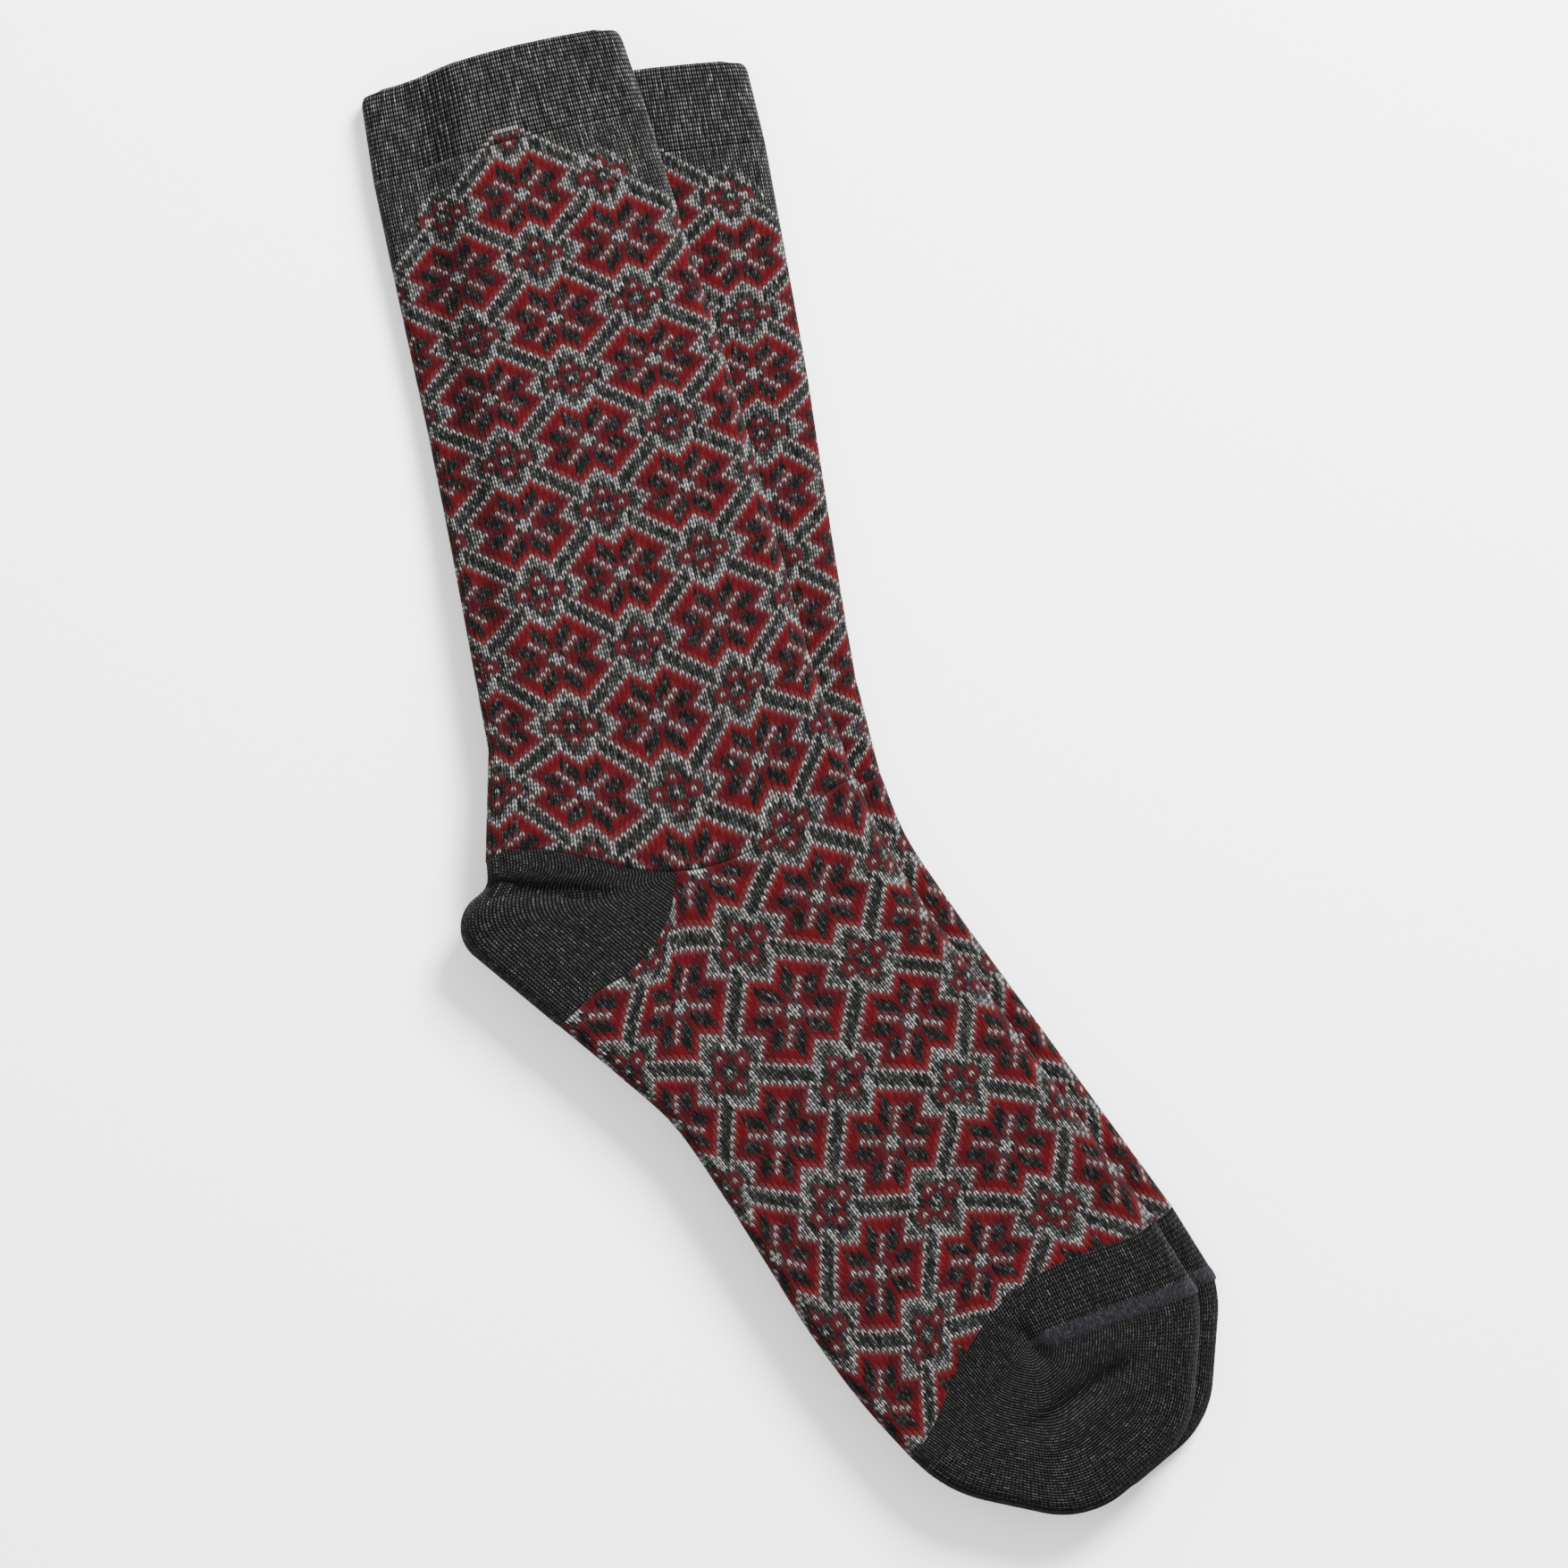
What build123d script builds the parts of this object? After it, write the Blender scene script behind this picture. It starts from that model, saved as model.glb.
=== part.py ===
from build123d import *

import os
from dataclasses import dataclass
from math import cos, radians, sin, tan

os.makedirs("parts", exist_ok=True)

# A pair of knitted socks lying flat on their sides, one on the other. +Z is up and z = 0 is the
# surface they lie on. The upper sock's leg runs along +Y to its cuff. The origin is under its ankle,
# where the leg's axis meets the foot's axis. Millimetres and degrees.

# Sizes of one sock, lying flat
leg_length = 229.0        # ankle to the cuff's top edge
cuff_height = 22.0        # the turned, ribbed cuff
cuff_width = 71.7         # at its top edge
leg_top_width = 76.0      # just under the cuff
calf_width = 82.5
shin_width = 89.5
calf_place = 140.0        # heights above the ankle at which those widths are measured
shin_place = 53.0
ankle_place = 23.0
ankle_back = 54.5         # leg's axis to its back and front edges, just above the heel
ankle_front = 47.0
foot_angle = 23.0         # between the leg's axis and the foot's axis
foot_reach = 194.0        # ankle to the tip of the toe, along the foot's axis
heel_reach = 56.5         # foot's axis to the outermost point of the heel
instep_reach = 45.0       # foot's axis to the instep edge
arch_reach = 42.0         # foot's axis to the sole edge, at its narrowest and at the ball
ball_reach = 48.0
toe_round = 32.0          # bend of the toe's outline
heel_round = 10.0         # bend of the heel's outline
heel_crook = 5.0          # and of the hollow above it
toe_cap = 58.0            # length of the toe cap, measured at the sock's side
lay_height = 9.0          # thickness of one loosely laid sock

# Knitted walls
wall = 1.5                # leg, heel, foot and toe
cuff_wall = 1.0           # outer layer of the turned cuff
lining_wall = 0.85        # its inner layer
cuff_gap = 0.45           # space between the two layers, where the elastic lies
elastic_thread = 0.3
elastic_rings = 5
seam_width = 2.0          # linked seam across the toe
seam_bead = 0.5           # how far the seam stands into the toe

# How the pair lies
stack_gap = 0.5           # clearance between the two socks
edge_sag = 0.2            # the upper leg's free edge hangs at least this low
lower_shift_x = 6.0       # the lower sock's ankle, from the upper one's
lower_shift_y = 1.5
lower_lean = 5.6          # the lower leg leans this far towards +X
lower_ease = 12.5         # the lower leg is pushed together by this much
drape_start = 32.0        # the upper leg's free edge begins to sag at this height
drape_end = 150.0         # and lies on the surface from here up
drape_run = 14.0          # distance over which it falls

edge_round = lay_height / 2 - 0.3
cuff_turn = cuff_wall + cuff_gap + lining_wall
far = 400.0               # reach of the cutting shapes, well outside a sock


@dataclass
class Sock:
    """Where one sock lies: its ankle, its underside, the lean and length of its leg."""

    name: str
    x: float
    y: float
    base: float
    lean: float
    leg: float
    drapes: bool


lower = Sock("lower", lower_shift_x, lower_shift_y, 0.0, lower_lean, leg_length - lower_ease, False)
upper = Sock("upper", 0.0, 0.0, lay_height + stack_gap, 0.0, leg_length, True)


def leg_plane(sock, height):
    """Plane square to the leg at a height above the ankle: x across to the front, y up."""
    lean = radians(sock.lean)
    along = Vector(sin(lean), cos(lean), 0)
    origin = Vector(sock.x, sock.y, sock.base) + along * height
    return Plane(origin=origin, x_dir=(cos(lean), -sin(lean), 0), z_dir=-along)


def foot_plane(sock, lift=0.0):
    """Plane of the foot: x from the ankle to the toe, y from the sole to the instep."""
    turn = radians(foot_angle)
    return Plane(origin=(sock.x, sock.y, sock.base + lift), x_dir=(sin(turn), -cos(turn), 0),
                 z_dir=(0, 0, 1))


def leg_edges(height, sock):
    """Distances from the leg's axis to its back and front edges at a height."""
    places = [
        (0.0, ankle_back + 3.0, ankle_front + 5.5),
        (ankle_place, ankle_back, ankle_front),
        (shin_place, shin_width / 2 + 1.5, shin_width / 2 - 1.5),
        (calf_place, calf_width / 2, calf_width / 2),
        (sock.leg - cuff_height, leg_top_width / 2, leg_top_width / 2),
        (sock.leg, cuff_width / 2, cuff_width / 2),
    ]
    for (low, back_low, front_low), (high, back_high, front_high) in zip(places, places[1:]):
        if height <= high:
            share = (height - low) / (high - low)
            return (back_low + share * (back_high - back_low),
                    front_low + share * (front_high - front_low))
    return cuff_width / 2, cuff_width / 2


def leg_section(sock, height, inset):
    """Flat rounded section of the leg. The upper sock's free back edge sags off the lower one."""
    back, front = leg_edges(height, sock)
    radius = lay_height / 2
    overhang = lower_shift_x + height * tan(radians(lower_lean))
    fallen = min(max((height - drape_start) / (drape_end - drape_start), 0.0), 1.0)
    drop = max(fallen * (lay_height + stack_gap), edge_sag) if sock.drapes else 0.0
    fold = max(-back + overhang, -back + radius + 1.0)
    foot_of_fall = max(fold - drape_run, -back + radius + 0.5)
    top = lay_height - inset
    middle = lay_height / 2
    with BuildSketch(leg_plane(sock, height)) as section:
        with BuildLine():
            Polyline((-back + radius, top - drop), (foot_of_fall, top - drop), (fold, top),
                     (front - radius, top))
            ThreePointArc((front - radius, top), (front - inset, middle), (front - radius, inset))
            Polyline((front - radius, inset), (fold, inset), (foot_of_fall, inset - drop),
                     (-back + radius, inset - drop))
            ThreePointArc((-back + radius, inset - drop), (-back + inset, middle - drop),
                          (-back + radius, top - drop))
        make_face()
    return section.sketch


def leg_tube(sock, heights, inset, mode=Mode.ADD):
    """Loft the leg's sections at the given heights, set in from the outside by inset."""
    sections = [leg_section(sock, height, inset) for height in heights]
    loft(sections, ruled=True, mode=mode)


def foot_outline(sock, inset):
    """Outline of the heel, foot and toe, from the front of the ankle round to the back of it."""
    front = (-60.0, instep_reach + 23.0)
    back = (-62.0, 28.5 - heel_reach)
    corners = [
        ((20.0, instep_reach + 1.5), 120.0),
        ((foot_reach - 31.0, instep_reach - 0.5), toe_round),
        ((foot_reach - 1.0, instep_reach - 27.0), 0.8 * toe_round),
        ((foot_reach + 1.0, 30.0 - ball_reach), 0.8 * toe_round),
        ((foot_reach - 29.0, 4.0 - ball_reach), 1.2 * toe_round),
        ((foot_reach - 69.0, -0.5 - ball_reach), 150.0),
        ((45.0, 0.5 - arch_reach), 100.0),
        ((-37.0, -heel_reach - 4.5), heel_round),
        ((-37.5, 12.5 - heel_reach), heel_crook),
    ]
    with BuildSketch(foot_plane(sock, inset)) as outline:
        with BuildLine():
            FilletPolyline(front, *[point for point, _ in corners], back,
                           radius=[radius for _, radius in corners])
            Line(back, front)
        make_face()
        if inset:
            offset(amount=-inset, kind=Kind.INTERSECTION)
    return outline.sketch


def rounded_pouch(sock, inset):
    """The foot's flat shape with rounded edges, set in from the outside by inset."""
    with BuildPart() as pouch:
        extrude(foot_outline(sock, inset), amount=lay_height - 2 * inset)
        fillet(pouch.faces().filter_by(Axis.Z).edges(), radius=edge_round - inset)
    return pouch.part


# Lines where the sock's areas meet, on the foot's plane
heel_tip = (-8.0, -1.5)
toe_corner = (foot_reach - toe_cap - 4.0, -3.5)
seam_start = (foot_reach - toe_cap + 7.0, -1.5)
seam_end = (foot_reach - toe_cap + 28.0, instep_reach + 6.0)


def heel_area(plane):
    """Heel pocket: a wedge behind the ankle that opens to the back."""
    with BuildSketch(plane) as area:
        with BuildLine():
            ThreePointArc(heel_tip, (-24.5, -15.5), (-43.5, -41.5))
            Polyline((-43.5, -41.5), (-60.0, -60.0), (-60.0, -far), (5.0, -far), (5.0, -52.0))
            ThreePointArc((5.0, -52.0), (3.0, -22.5), heel_tip)
        make_face()
    return area.sketch


def foot_area(plane):
    """Everything beyond the ankle line: the foot, with the heel and toe still in it."""
    with BuildSketch(plane) as area:
        with BuildLine():
            Polyline(heel_tip, (heel_tip[0] + 0.2 * far, far), (2 * far, far), (2 * far, -far),
                     (-60.0, -far), (-60.0, -60.0), (-43.5, -41.5))
            ThreePointArc((-43.5, -41.5), (-24.5, -15.5), heel_tip)
        make_face()
    return area.sketch


def toe_area(plane):
    """Toe cap: straight across on the instep side and slanting away on the sole side."""
    with BuildSketch(plane) as area:
        with BuildLine():
            Polyline(toe_corner, (toe_corner[0] + 8.5, instep_reach + 10.0), (toe_corner[0] + 8.5, far),
                     (2 * far, far), (2 * far, -far), (toe_corner[0] + 22.0, -far),
                     (toe_corner[0] + 22.0, -ball_reach), close=True)
        make_face()
    return area.sketch


def seam_area(plane):
    """Narrow strip across the toe cap, from its side to past the instep edge."""
    with BuildSketch(plane) as area:
        with BuildLine():
            Line(seam_start, seam_end)
        trace(line_width=seam_width)
    return area.sketch


def cut_with(sock, area, mode):
    """Cut the current piece with an upright prism over one of the areas."""
    extrude(area(foot_plane(sock, -lay_height * 2)), amount=lay_height * 4, mode=mode)


def finish(piece, name):
    """Label the piece and write its file."""
    piece.part.label = name
    export_step(piece.part, f"parts/{name}.step")


for sock in (lower, upper):
    cuff_end = sock.leg - cuff_height
    turn_line = sock.leg - cuff_turn
    leg_heights = [0.0, ankle_place, shin_place, calf_place, cuff_end]

    with BuildPart() as cuff:
        leg_tube(sock, [cuff_end, sock.leg], 0.0)
        leg_tube(sock, [cuff_end, turn_line], cuff_wall, mode=Mode.SUBTRACT)
        leg_tube(sock, [turn_line, sock.leg], cuff_turn, mode=Mode.SUBTRACT)
    finish(cuff, f"{sock.name}_cuff")

    with BuildPart() as cuff_lining:
        leg_tube(sock, [cuff_end, turn_line], cuff_wall + cuff_gap)
        leg_tube(sock, [cuff_end, turn_line], cuff_turn, mode=Mode.SUBTRACT)
    finish(cuff_lining, f"{sock.name}_cuff_lining")

    ring_pitch = (turn_line - cuff_end) / elastic_rings
    ring_inset = cuff_wall + (cuff_gap - elastic_thread) / 2
    with BuildPart() as cuff_elastic:
        for ring in range(elastic_rings):
            middle = cuff_end + (ring + 0.5) * ring_pitch
            ring_heights = [middle - elastic_thread, middle + elastic_thread]
            leg_tube(sock, ring_heights, ring_inset)
            leg_tube(sock, ring_heights, ring_inset + elastic_thread, mode=Mode.SUBTRACT)
    finish(cuff_elastic, f"{sock.name}_cuff_elastic")

    with BuildPart() as leg:
        leg_tube(sock, leg_heights, 0.0)
        leg_tube(sock, leg_heights, wall, mode=Mode.SUBTRACT)
        cut_with(sock, heel_area, Mode.SUBTRACT)
        cut_with(sock, foot_area, Mode.SUBTRACT)
    finish(leg, f"{sock.name}_leg")

    outside = rounded_pouch(sock, 0.0)
    inside = rounded_pouch(sock, wall)
    inside_of_seam = rounded_pouch(sock, wall + seam_bead)

    with BuildPart() as heel:
        add(outside)
        add(inside, mode=Mode.SUBTRACT)
        cut_with(sock, heel_area, Mode.INTERSECT)
    finish(heel, f"{sock.name}_heel")

    with BuildPart() as foot:
        add(outside)
        add(inside, mode=Mode.SUBTRACT)
        cut_with(sock, foot_area, Mode.INTERSECT)
        cut_with(sock, heel_area, Mode.SUBTRACT)
        cut_with(sock, toe_area, Mode.SUBTRACT)
    finish(foot, f"{sock.name}_foot")

    with BuildPart() as toe:
        add(outside)
        add(inside, mode=Mode.SUBTRACT)
        cut_with(sock, toe_area, Mode.INTERSECT)
        cut_with(sock, seam_area, Mode.SUBTRACT)
    finish(toe, f"{sock.name}_toe")

    with BuildPart() as toe_seam:
        add(outside)
        add(inside_of_seam, mode=Mode.SUBTRACT)
        cut_with(sock, seam_area, Mode.INTERSECT)
    finish(toe_seam, f"{sock.name}_toe_seam")
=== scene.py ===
# %% [markdown]
# # A pair of patterned wool socks
# Two knitted socks lie flat, one on the other. Each is a thin tube of knitting: a ribbed cuff, a
# patterned leg and foot, and a plain heel and toe. Colour printed on a plain tube would look
# false, so every stitch here is real mesh. The lesson is that knitting has its own coordinates,
# wales (columns of stitches) and courses (rows of stitches), and that shape, relief and colour
# all become simple once they are functions of those two numbers.

# %% Load the frame
from math import cos, pi, radians, sin, sqrt, tan

import bmesh
import bpy
import numpy as np
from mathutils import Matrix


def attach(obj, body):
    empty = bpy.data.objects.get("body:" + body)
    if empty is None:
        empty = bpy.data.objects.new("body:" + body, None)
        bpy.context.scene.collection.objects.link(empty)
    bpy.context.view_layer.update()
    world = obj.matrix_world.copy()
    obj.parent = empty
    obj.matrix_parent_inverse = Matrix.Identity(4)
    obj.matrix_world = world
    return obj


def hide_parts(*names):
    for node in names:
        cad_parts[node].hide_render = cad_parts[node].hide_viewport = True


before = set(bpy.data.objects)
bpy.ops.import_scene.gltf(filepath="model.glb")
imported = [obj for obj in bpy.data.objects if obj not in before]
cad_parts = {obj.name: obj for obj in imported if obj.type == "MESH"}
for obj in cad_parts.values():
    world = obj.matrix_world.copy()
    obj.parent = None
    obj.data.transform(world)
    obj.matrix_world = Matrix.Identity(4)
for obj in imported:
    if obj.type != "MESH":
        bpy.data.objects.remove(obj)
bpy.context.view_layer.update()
MM = 0.001

# %% [markdown]
# ## Camera, floor and light
# The socks are seen from straight above, turned a little, through a long lens, so that nothing
# is foreshortened. A wide soft light from the upper right and a pale sky give the loose, short
# shadow to the lower left that a flat thing throws on a table.

# %% Camera
camera_data = bpy.data.cameras.new("overhead")
camera_data.lens = 172.0
camera_data.sensor_width = 36.0
camera = bpy.data.objects.new("overhead", camera_data)
camera_height = 2.0
sock_top = 18.5 * MM
camera.location = (28.36 * MM, 24.97 * MM, sock_top + camera_height)
camera.rotation_euler = (0.0, 0.0, radians(-14.0))
bpy.context.scene.collection.objects.link(camera)
bpy.context.scene.camera = camera
print("view width at the socks:", round(camera_height * 36 / camera_data.lens, 4), "m")

# %% Floor
floor_data = bpy.data.meshes.new("floor")
reach = 3.0
floor_corners = [(-reach, -reach, 0), (reach, -reach, 0), (reach, reach, 0), (-reach, reach, 0)]
floor_data.from_pydata(floor_corners, [], [(0, 1, 2, 3)])
floor = bpy.data.objects.new("floor", floor_data)
floor.location = (0, 0, -0.0003)
bpy.context.scene.collection.objects.link(floor)
paper = bpy.data.materials.new("pale_paper")
paper.use_nodes = True
paper_shader = paper.node_tree.nodes["Principled BSDF"]
paper_shader.inputs["Base Color"].default_value = (0.93, 0.935, 0.94, 1)
paper_shader.inputs["Roughness"].default_value = 0.9
floor_data.materials.append(paper)

# %% Light
world = bpy.data.worlds.new("soft_sky")
world.use_nodes = True
world.node_tree.nodes["Background"].inputs["Color"].default_value = (1.0, 1.0, 1.0, 1)
world.node_tree.nodes["Background"].inputs["Strength"].default_value = 1.5
bpy.context.scene.world = world


def soft_light(name, place, size, watts):
    """A square area light at a place, turned to face the middle of the socks."""
    data = bpy.data.lights.new(name, "AREA")
    data.size = size
    data.energy = watts
    light = bpy.data.objects.new(name, data)
    light.location = place
    aim = camera.location.copy()
    aim.z = 0
    light.rotation_euler = (aim - light.location).to_track_quat("-Z", "Y").to_euler()
    bpy.context.scene.collection.objects.link(light)


soft_light("window", (0.9, 0.9, 1.1), 0.6, 150)
soft_light("fill", (-1.2, 0.6, 1.8), 1.6, 20)

# %% [markdown]
# ## The stitch chart
# A knitter reads the design from a chart: one letter for each stitch. This one repeats every 30
# wales and 30 courses, and each quarter mirrors the next, so half of one quarter is enough. W is
# the pale yarn, K the grey marl of the bars, k the darker one of the leaves, m a mixture round
# the medallions, and a dot the red ground, which is bright in some courses and burgundy in the
# others, so burgundy's letter is a blank. The eight-pointed star is at the chart's first corner,
# and the small medallion of five dots half a repeat away.

# %% Chart
CHART = [
    "WW.....WmmK.W.KW",
    "WK..kk..WmK...KK",
    "..W.kkk..WKWKK..",
    ".k.W.kk...WKWK.W",
    ".kk.W....WKKWmK.",
    ".kkk....WKKKWmKK",
    "..kk...WKKKW.Wmm",
    "W..k..WKKKW...Wm",
]
REPEAT = 30
WALES_ROUND = 120
RED, GREY, WHITE, DARK_RED = 0, 1, 2, 3
YARN_LETTERS = ".KW km"
chart = np.array([[YARN_LETTERS.index(letter) for letter in row] for row in CHART])


def chart_yarn(wale, course):
    """Yarn number of each stitch: fold wale and course back into one quarter of the repeat, turn
    the far half of it round, and read the chart. 0 bright red, 1 grey marl, 2 pale, 3 burgundy,
    4 charcoal, 5 pale and grey mixed."""
    across = np.abs((wale + 15) % REPEAT - 15)
    down = np.abs((course + 15) % REPEAT - 15)
    far = down > 7
    across = np.where(far, 15 - across, across)
    down = np.where(far, 15 - down, down)
    yarn = chart[down, across]
    return np.where((yarn == RED) & (down <= 4), DARK_RED, yarn)


def inside_pattern(wale, course):
    """True where the design covers the leg: below a zigzag line that falls one course for each
    wale from its two peaks, and inside the medallions that sit on that line."""
    side = np.abs((wale + 30) % 60 - 30)
    below = course + 15
    covered = (below >= side - 2) & (below >= 0)
    for step in (15, 30):
        covered |= np.abs(side - step) + np.abs(below - step) <= 7
    return covered


one_repeat = chart_yarn(*np.meshgrid(np.arange(REPEAT), np.arange(REPEAT)))
print("pale stitches in one repeat:", int((one_repeat == WHITE).sum()))

# %% [markdown]
# ## Yarn colours
# The grey yarns are marls, dark and light fibres spun together, so their stitches vary a lot.
# The reds are dyed evenly. Fuzz carries a little of each yarn over its neighbours, which turns
# the pale stitches pink where they stand alone on the red ground, so each stitch takes a share
# of the colour around it.

# %% Colours of the stitches
BRIGHT_RED = (0.0420, 0.0008, 0.0020)
GREY_MARL = (0.0340, 0.0345, 0.0335)
PALE = (0.360, 0.340, 0.332)
BURGUNDY = (0.0290, 0.0009, 0.0024)
CHARCOAL = (0.0185, 0.0180, 0.0178)
MIXTURE = (0.140, 0.145, 0.138)
HEEL_GREY = (0.0290, 0.0294, 0.0288)
CUFF_GREY = (0.1000, 0.1008, 0.0975)
YARNS = np.array([BRIGHT_RED, GREY_MARL, PALE, BURGUNDY, CHARCOAL, MIXTURE])
EVENNESS = np.array([0.08, 0.72, 0.20, 0.10, 0.75, 0.75])
# Painted shade in the gaps round each leg: the material darkens a leg's colour towards its gaps, down to this
# share of it.
GAP_SHADE_FLOOR = np.array([0.72, 0.08, 0.05, 0.70, 0.10, 0.05])
PLAIN_EVENNESS = 0.42
BLEED = 0.34
SLIGHT_BLEED = 0.04


def stitch_colours(first_course, last_course, shift, seed, plain):
    """Colours of a whole tube of stitches, two legs to a stitch: the chart's yarn, mixed with the
    mean of its four neighbours, times a random tone for each leg (log-normal, seeded). A fourth
    number is the painted shade in the gap beside the leg, as how light that gap stays; for pale
    stitches it is also the darker yarn behind showing through. Red is fluffy and closes the gap,
    pale does not. In the plain grey of the top the same tone runs on for two courses, as in a rib."""
    courses = np.arange(first_course, last_course + 1)
    wales = np.arange(-60, 60)
    wale, course = np.meshgrid(wales - shift, courses)
    yarn = chart_yarn(wale, course)
    covered = inside_pattern(wale, course)
    below = course + 15
    side = np.abs((wale + 30) % 60 - 30)
    yarn = np.where(covered & (below == np.maximum(side - 2, 0)) & (yarn != GREY), WHITE, yarn)
    yarn = np.where(covered & (below == 0), WHITE, yarn)
    colour = YARNS[yarn]
    uneven = EVENNESS[yarn]
    gap_shade_floors = GAP_SHADE_FLOOR[yarn]
    outside = np.ones_like(covered) if plain == HEEL_GREY else ~covered
    colour = np.where(outside[..., None], plain, colour)
    uneven = np.where(outside, PLAIN_EVENNESS, uneven)
    # Plain grey gets a floor of 0: the deepest painted shade in its gaps.
    gap_shade_floors = np.where(outside, 0.0, gap_shade_floors)
    along_wale = np.roll(colour, 1, 0) + np.roll(colour, -1, 0)
    around = (along_wale + np.roll(colour, 1, 1) + np.roll(colour, -1, 1)) / 4
    around[0] = colour[0]
    around[-1] = colour[-1]
    share = np.where(yarn == WHITE, BLEED, SLIGHT_BLEED)[..., None]
    colour = colour * (1 - share) + around * share
    rng = np.random.default_rng(seed)
    legs = np.repeat(colour, 2, axis=1)
    chance = rng.normal(0, 1, legs.shape[:2])
    if plain == CUFF_GREY:
        streak = (chance + np.roll(chance, 1, 0)) / sqrt(2)
        chance = np.where(np.repeat(covered, 2, axis=1), chance, streak)
    tone = np.exp(chance * np.repeat(uneven, 2, axis=1))
    legs = legs * tone[..., None] / np.exp(np.repeat(uneven, 2, axis=1) ** 2 / 2)[..., None]
    return np.concatenate([legs, np.repeat(gap_shade_floors, 2, axis=1)[..., None]], -1)


print("leg colours:", stitch_colours(-12, 149, 0, 1, CUFF_GREY).shape)

# %% [markdown]
# ## Where the stitches lie
# Courses do not run straight across a sock: they bow where the leg turns into the foot, and they
# spread over the ankle. A few landmarks say where, in five places across the tube (back edge,
# quarter, middle, quarter, front edge) for some of the courses. A smooth curve through them gives
# every other stitch. Lengths are millimetres, from a point under the ankle.

# %% Landmarks of the leg
def smooth_through(at, knots, values):
    """Cubic pieces through the knots, with the slope at each knot taken from its neighbours."""
    knots = np.asarray(knots, float)
    values = np.asarray(values, float)
    at = np.asarray(at, float)
    slope = np.gradient(values, knots, axis=0)
    piece = np.clip(np.searchsorted(knots, at, side="right") - 1, 0, len(knots) - 2)
    more = (1,) * (values.ndim - 1)
    gap = (knots[piece + 1] - knots[piece]).reshape(at.shape + more)
    s = (at - knots[piece]).reshape(at.shape + more) / gap
    start = (1 + 2 * s) * (1 - s) ** 2 * values[piece] + s * (1 - s) ** 2 * gap * slope[piece]
    return start + s**2 * (3 - 2 * s) * values[piece + 1] + s**2 * (s - 1) * gap * slope[piece + 1]


def leg_edges(height):
    """Back and front edge of the flat leg at a height: straight between a few widths, and rounded
    by a quarter circle of 3 mm at the cuff's top corners."""
    heights = [0, 23, 53, 140, 207, 229]
    back = [57.5, 54.5, 46.25, 41.25, 38.0, 35.85]
    front = [52.5, 47.0, 43.25, 41.25, 38.0, 35.85]
    corner = 3 * (1 - np.sqrt(np.clip(1 - (np.clip(height - 226, 0, 3) / 3) ** 2, 0.02, 1)))
    return np.interp(height, heights, back) - corner, np.interp(height, heights, front) - corner


LEG_STARS = [-2.1667, -0.8333, 0, 2, 4, 6, 8, 9, 10]
LEG_HEIGHTS = [
    (229, 229, 229, 229, 229),
    (207, 207, 207, 207, 207),
    (194.1, 194.1, 194.1, 194.1, 194.1),
    (160.4, 160.4, 160.4, 160.4, 160.4),
    (126.9, 126.6, 126.8, 126.6, 126.9),
    (91.5, 90.4, 90.0, 90.4, 91.5),
    (58.5, 53.5, 50.8, 52.8, 56.5),
    (41.5, 35.4, 29.8, 33.0, 38.8),
    (23.5, 16.7, 7.8, 12.9, 21.3),
]
LEG_QUARTERS = [20.3, 21.6, 22.2, 22.4, 22.4, 22.4, 22.8, 23.6, 25.5]
EDGE_STARS = [-2.2, 2, 5, 7, 9, 10, 11, 12, 14, 16.67]
EDGE_WALES = [
    (-28.6, 28.6), (-28.7, 28.6), (-30.0, 29.8), (-31.9, 30.4), (-33.5, 31.6),
    (-34.0, 32.0), (-33.5, 32.5), (-32.5, 32.8), (-34.5, 32.5), (-34.0, 32.0),
]


def leg_landmarks(star):
    """Five points across the leg for each star row: heights from the table, sides from the widths."""
    heights = smooth_through(star, LEG_STARS, LEG_HEIGHTS)
    quarter = smooth_through(star, LEG_STARS, LEG_QUARTERS)
    back, _ = leg_edges(heights[..., 0])
    _, front = leg_edges(heights[..., 4])
    sides = np.stack([-back, -quarter, np.zeros_like(quarter), quarter, front], -1)
    return np.stack([sides, heights], -1)


print("course through the heel's top:", np.round(leg_landmarks(np.array([10.0]))[0], 1).tolist())

# %% Landmarks of the foot
FOOT_TURN = radians(23)
ALONG_FOOT = np.array([sin(FOOT_TURN), -cos(FOOT_TURN)])
ACROSS_FOOT = np.array([cos(FOOT_TURN), sin(FOOT_TURN)])


def from_foot(along_across):
    """Foot measures (along the foot, across it towards the instep) as places on the table."""
    points = np.asarray(along_across, float)
    return points[..., :1] * ALONG_FOOT + points[..., 1:] * ACROSS_FOOT


FOOT_STARS = [10, 11, 12, 13, 14, 15, 16, 16.67]
FOOT_PLACES = [
    [(3.6, -51.2), (1.8, -18.7), (-7.3, 2.8), (-1.9, 28.5), (-1.0, 52.1)],
    [(25.0, -46.2), (18.8, -22.0), (15.6, 1.6), (17.5, 25.0), (18.5, 47.7)],
    [(43.5, -42.7), (40.8, -22.1), (38.1, 1.5), (38.2, 25.0), (38.2, 46.3)],
    [(65.0, -43.4), (62.8, -22.0), (60.0, 1.5), (58.8, 25.0), (58.4, 45.9)],
    [(87.5, -45.2), (85.5, -22.0), (81.9, 1.5), (80.0, 25.0), (78.8, 45.6)],
    [(111.0, -47.1), (107.8, -22.0), (101.8, 1.5), (101.0, 25.0), (100.2, 45.3)],
    [(136.0, -47.1), (128.5, -22.0), (121.2, 1.5), (122.2, 25.0), (122.4, 45.0)],
    [(152.0, -45.6), (141.3, -22.0), (133.3, 1.5), (136.6, 25.0), (140.4, 44.8)],
]


def foot_landmarks(star):
    """Five points across the foot for each star row, from the table."""
    return from_foot(smooth_through(star, FOOT_STARS, FOOT_PLACES))


print("toe line:", np.round(foot_landmarks(np.array([16.67]))[0], 1).tolist())

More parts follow.
